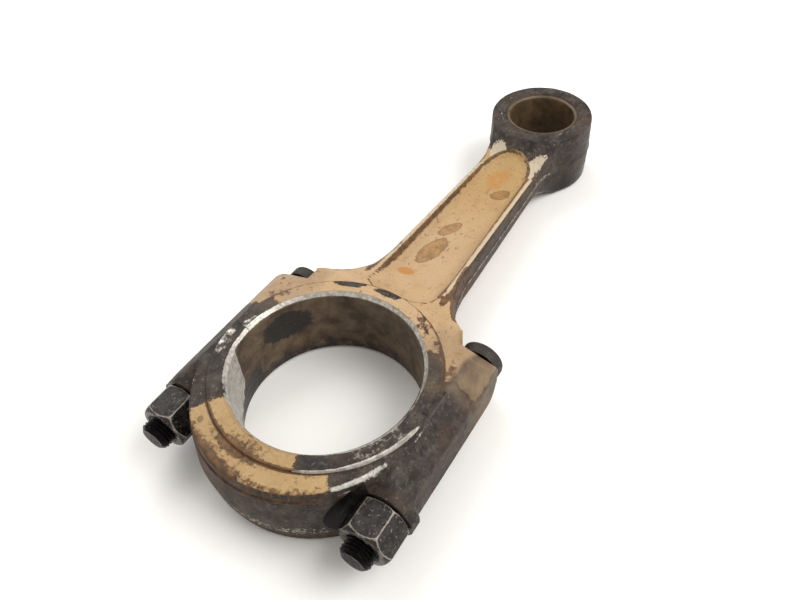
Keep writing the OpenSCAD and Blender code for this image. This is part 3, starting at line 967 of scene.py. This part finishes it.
def group(name, *labels):
    """An empty shared group with the labelled number inputs and one output, ready to fill."""
    tree = bpy.data.node_groups.new(name, "ShaderNodeTree")
    for label in labels:
        tree.interface.new_socket(label, in_out="INPUT", socket_type="NodeSocketFloat")
    tree.interface.new_socket("Value", in_out="OUTPUT", socket_type="NodeSocketFloat")
    net = Net(tree)
    given = tree.nodes.new("NodeGroupInput")
    result = tree.nodes.new("NodeGroupOutput")
    where = net.add("TexCoord").outputs["Object"]
    return net, given.outputs, result.inputs[0], where


def ragged_edge():
    """A mask whose soft border is broken up by noise into a ragged one."""
    net, given, result, where = group("ragged_edge", "Mask", "Scale", "Raggedness", "Sharpness")
    noise = net.add("TexNoise", {"Vector": where, "Scale": given["Scale"], "Detail": 7, "Roughness": 0.68})
    swing = net.times(net.less(noise.outputs["Fac"], 0.5), given["Raggedness"])
    centred = net.less(net.maths("ADD", given["Mask"], swing), 0.5)
    net.tree.links.new(net.maths("ADD", net.times(centred, given["Sharpness"]), 0.5, True), result)
    return net.tree


def mottle():
    """Patches of noise between two limits, from 0 to 1."""
    net, given, result, where = group("mottle", "Scale", "Low", "High", "Detail")
    noise = net.add("TexNoise", {"Vector": where, "Scale": given["Scale"], "Detail": given["Detail"],
                                 "Roughness": 0.6})
    patch = net.add("MapRange", {0: noise.outputs["Fac"], 1: given["Low"], 2: given["High"]})
    net.tree.links.new(patch.outputs[0], result)
    return net.tree


def forged_skin():
    """The height of a forged or corroded skin: fine grain with scattered round pits."""
    net, given, result, where = group("forged_skin", "Scale", "Pits", "Pit Scale")
    grain = net.add("TexNoise", {"Vector": where, "Scale": given["Scale"], "Detail": 5, "Roughness": 0.6})
    cells = net.add("TexVoronoi", {"Vector": where, "Scale": given["Pit Scale"]})
    pit = net.add("MapRange", {0: cells.outputs["Distance"], 1: 0.12, 2: 0.4, 3: 1, 4: 0})
    deep = net.times(pit.outputs[0], given["Pits"])
    net.tree.links.new(net.less(grain.outputs["Fac"], deep), result)
    return net.tree


RAGGED, MOTTLE, FORGED = ragged_edge(), mottle(), forged_skin()


def finish_of(name):
    """A new material: its net and its Principled shader."""
    material = bpy.data.materials.new(name)
    material.use_nodes = True
    return material, Net(material.node_tree), material.node_tree.nodes["Principled BSDF"]


def forging(name, steel_dark, steel_pale, tan, tan_dark, tan_yellow):
    """Worn lacquer over gunmetal steel, with cream, brown and orange stains, grease and bare metal; the
    grease map also paints shadow, and the bare map paints highlights and a reflection.
    """
    material, net, shader = finish_of(name)
    steel = net.mix(net.patches(190, 0.4, 0.62, 9), steel_dark, steel_pale)
    steel = net.cover(steel, net.patches(60, 0.45, 0.66, 7), 0.7, seen(80, 58, 42))
    steel = net.cover(steel, net.patches(520, 0.55, 0.62, 6), 0.6, seen(34, 29, 26))
    steel = net.cover(steel, net.patches(640, 0.6, 0.66, 5), 0.42, seen(162, 148, 128))

    paint = net.mix(net.worn("yellow"), tan, tan_yellow)
    paint = net.cover(paint, net.patches(60, 0.42, 0.66, 8), 0.55, tan_dark)
    paint = net.cover(paint, net.patches(480, 0.61, 0.65, 7), 0.6, seen(98, 68, 42))
    paint = net.cover(paint, net.patches(900, 0.35, 0.65, 5), 0.22, seen(238, 210, 166))
    lacquer = net.worn("lacquer")
    coat = net.torn(lacquer, 230, 1.15, 9)
    stained_border = net.less(net.torn(net.maths("ADD", lacquer, 0.09), 230, 1.15, 9), coat)
    colour = net.cover(net.mix(coat, steel, paint), stained_border, 0.8, seen(96, 60, 32))

    colour = net.mix(net.torn(net.worn("cream"), 620, 1.7, 8), colour, seen(222, 206, 178))
    colour = net.cover(colour, net.torn(net.worn("orange"), 170, 0.9, 2.4), 0.8, seen(206, 138, 50))
    spot = net.worn("blotch")
    blotch = net.torn(spot, 200, 1, 5)
    tide = net.less(net.torn(net.maths("ADD", spot, 0.14), 200, 1, 5), blotch)
    inner = net.mix(net.patches(260, 0.4, 0.6, 6), seen(186, 134, 66), seen(134, 96, 52))
    colour = net.cover(net.cover(colour, blotch, 0.72, inner), tide, 0.9, seen(104, 66, 30))
    rust = net.mix(net.patches(340, 0.4, 0.6, 5), seen(66, 42, 24), seen(122, 80, 42))
    colour = net.cover(colour, net.torn(net.worn("brown"), 460, 1.5, 5), 0.88, rust)
    varnish = net.mix(net.patches(110, 0.38, 0.62, 8), seen(86, 66, 50), seen(138, 117, 92))
    colour = net.mix(net.worn("varnish"), colour, varnish)

    edge = net.torn(net.times(net.worn("edge"), 0.66), 420, 1.2, 7)
    edge = net.times(edge, net.less(1.0, net.times(coat, 0.6)))
    # Bare metal and worn edges take the pale metal colour, and so do the painted highlight on the chamfer
    # and the painted reflection in the cap bore.
    metal_and_highlight_mask = net.maths("MAXIMUM", net.torn(net.worn("bare"), 300, 0.9, 7), net.times(edge, 0.7))
    metal = net.mix(net.patches(480, 0.36, 0.6, 6), seen(186, 180, 168), seen(246, 240, 228))
    # Grease in near-black, which also paints the shadow in the cap's nut pockets.
    grease = net.torn(net.worn("grease"), 260, 1.1, 5)
    colour = net.cover(net.mix(metal_and_highlight_mask, colour, metal), grease, 0.92, seen(24, 21, 20))
    colour = net.cover(colour, net.patches(1500, 0.35, 0.7, 4), net.blend(coat, 0.24, 0.1), seen(62, 48, 34))

    smudge = net.times(net.patches(130, 0.3, 0.7, 4), 0.16)
    dull = net.maths("ADD", net.blend(coat, 0.5, 0.42), smudge)
    dull = net.blend(grease, net.blend(metal_and_highlight_mask, dull, 0.34), 0.3)
    layers = net.maths("ADD", net.times(net.skin(700, 0.4, 330), 0.35), net.times(coat, 0.3))
    net.feed(shader, {
        "Base Color": colour, "Roughness": dull, "Specular IOR Level": 0.25,
        "Metallic": net.times(net.times(metal_and_highlight_mask, net.less(1.0, grease)), 0.45),
        "Normal": net.bump(net.times(layers, net.blend(metal_and_highlight_mask, 1.0, 0.25)), 0.7, 0.0007),
    })
    return material


def hardware(name, dark, pale, worn, gloss):
    """Blackened steel of a bolt or nut, greasy in patches, worn bright along its edges."""
    material, net, shader = finish_of(name)
    patches = net.patches(260, 0.4, 0.64, 8)
    colour = net.cover(net.mix(patches, dark, pale), net.patches(600, 0.54, 0.6, 6), 0.6, seen(18, 16, 15))
    colour = net.cover(colour, net.patches(820, 0.6, 0.66, 5), 0.5, worn)
    edge = net.torn(net.times(net.worn("edge"), 0.9), 460, 1, 6)
    grease = net.torn(net.times(net.worn("grease"), 0.78), 420, 1, 5)
    colour = net.cover(net.cover(colour, edge, 0.85, worn), grease, 0.9, seen(12, 11, 11))
    net.feed(shader, {
        "Base Color": colour, "Roughness": net.blend(grease, net.blend(patches, 0.4, 0.58), 0.22),
        "Metallic": net.times(edge, 0.4), "Specular IOR Level": gloss,
        "Normal": net.bump(net.skin(500, 0.5, 420), 0.7, 0.0006),
    })
    return material


def bronze():
    """The bush's bore: bronze under brown varnish, dull and streaked."""
    material, net, shader = finish_of("bush_bronze")
    patches = net.patches(120, 0.35, 0.65, 6)
    colour = net.mix(patches, seen(84, 66, 46), seen(142, 114, 80))
    net.feed(shader, {
        "Base Color": net.cover(colour, net.patches(60, 0.5, 0.66, 5), 0.8, seen(52, 45, 38)),
        "Roughness": net.blend(patches, 0.4, 0.6), "Metallic": 0.3,
        "Normal": net.bump(net.skin(800, 0.2, 500), 0.3, 0.0003),
    })
    return material


ROD_FINISH = forging("rod_lacquer", seen(30, 26, 23), seen(88, 79, 70),
                     seen(216, 178, 132), seen(192, 146, 96), seen(200, 160, 98))
CAP_FINISH = forging("cap_lacquer", seen(32, 27, 23), seen(86, 77, 67),
                     seen(208, 170, 114), seen(170, 128, 74), seen(190, 154, 96))
BOLT_FINISH = hardware("bolt_black", seen(4, 4, 5), seen(20, 19, 18), seen(84, 79, 74), 0.04)
NUT_FINISH = hardware("nut_steel", seen(26, 23, 22), seen(70, 64, 60), seen(186, 176, 162), 0.24)
BUSH_FINISH = bronze()

# ---- Assembly ----


def fit(obj, wear, body, node, material):
    """Puts a piece on its body in place of its CAD node, with its wear and its finish."""
    if wear is not None:
        wear(obj)
    obj.data.materials.clear()
    obj.data.materials.append(material)
    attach(obj, body)
    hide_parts(node)


fit(rod_forging(), rod_wear, "rod", "rod_forging", ROD_FINISH)
fit(bush(), None, "rod", "small_end_bush", BUSH_FINISH)
fit(bearing_cap(), cap_wear, "cap", "bearing_cap", CAP_FINISH)
for hand, side in (("left", 1), ("right", -1)):
    for kind, shape, finish in (("bolt", bolt, BOLT_FINISH), ("nut", nut, NUT_FINISH)):
        node = f"{kind}_{hand}"
        fit(shape(f"cap_{node}", side), hardware_wear, node, node, finish)

# ---- Floor, light and camera ----


def in_scene(name, data):
    """A new object in the scene that holds the given mesh, light or camera."""
    obj = bpy.data.objects.new(name, data)
    bpy.context.scene.collection.objects.link(obj)
    return obj


def floor():
    """A plain pale floor under the rod."""
    mesh = bpy.data.meshes.new("floor")
    reach, height = 3.0, ROD_LOW[2] * MM
    corners = [(-1, -1), (1, -1), (1, 1), (-1, 1)]
    mesh.from_pydata([(reach * x, reach * y, height) for x, y in corners], [], [(0, 1, 2, 3)])
    material, net, shader = finish_of("floor_white")
    net.feed(shader, {"Base Color": (0.8, 0.785, 0.755, 1), "Roughness": 0.7})
    mesh.materials.append(material)
    in_scene("floor", mesh)


def soft_light(name, at, power):
    """A square soft light that shines at the rod's middle."""
    light = bpy.data.lights.new(name, "AREA")
    light.size = 0.9
    light.energy = power
    obj = in_scene(name, light)
    obj.location = at
    target = Vector((0.08, 0, 0))
    obj.rotation_euler = (target - Vector(at)).to_track_quat("-Z", "Y").to_euler()


def camera():
    """Looks down along the rod from behind the cap."""
    yaw, pitch, roll = 35.0, 47.07, -3.98
    data = bpy.data.cameras.new("camera")
    data.lens = 32.4
    data.sensor_width = 36
    data.clip_start = 0.01
    obj = in_scene("camera", data)
    place = Matrix.Translation(Vector((-133.04, -133.47, 255.73)) * MM)
    heading = Matrix.Rotation(np.radians(yaw - 90), 4, "Z")
    tilt = Matrix.Rotation(np.radians(90 - pitch), 4, "X")
    obj.matrix_world = place @ heading @ tilt @ Matrix.Rotation(np.radians(roll), 4, "Z")
    bpy.context.scene.camera = obj


floor()
camera()
soft_light("key", (0.35, -0.75, 0.9), 14)
soft_light("back", (0.4, 0.7, 0.8), 8)
world = bpy.data.worlds.new("studio")
world.use_nodes = True
sky = {"Color": (0.98, 0.97, 0.95, 1), "Strength": 0.75}
Net(world.node_tree).feed(world.node_tree.nodes["Background"], sky)
bpy.context.scene.world = world
bpy.context.scene.view_settings.view_transform = "Standard"
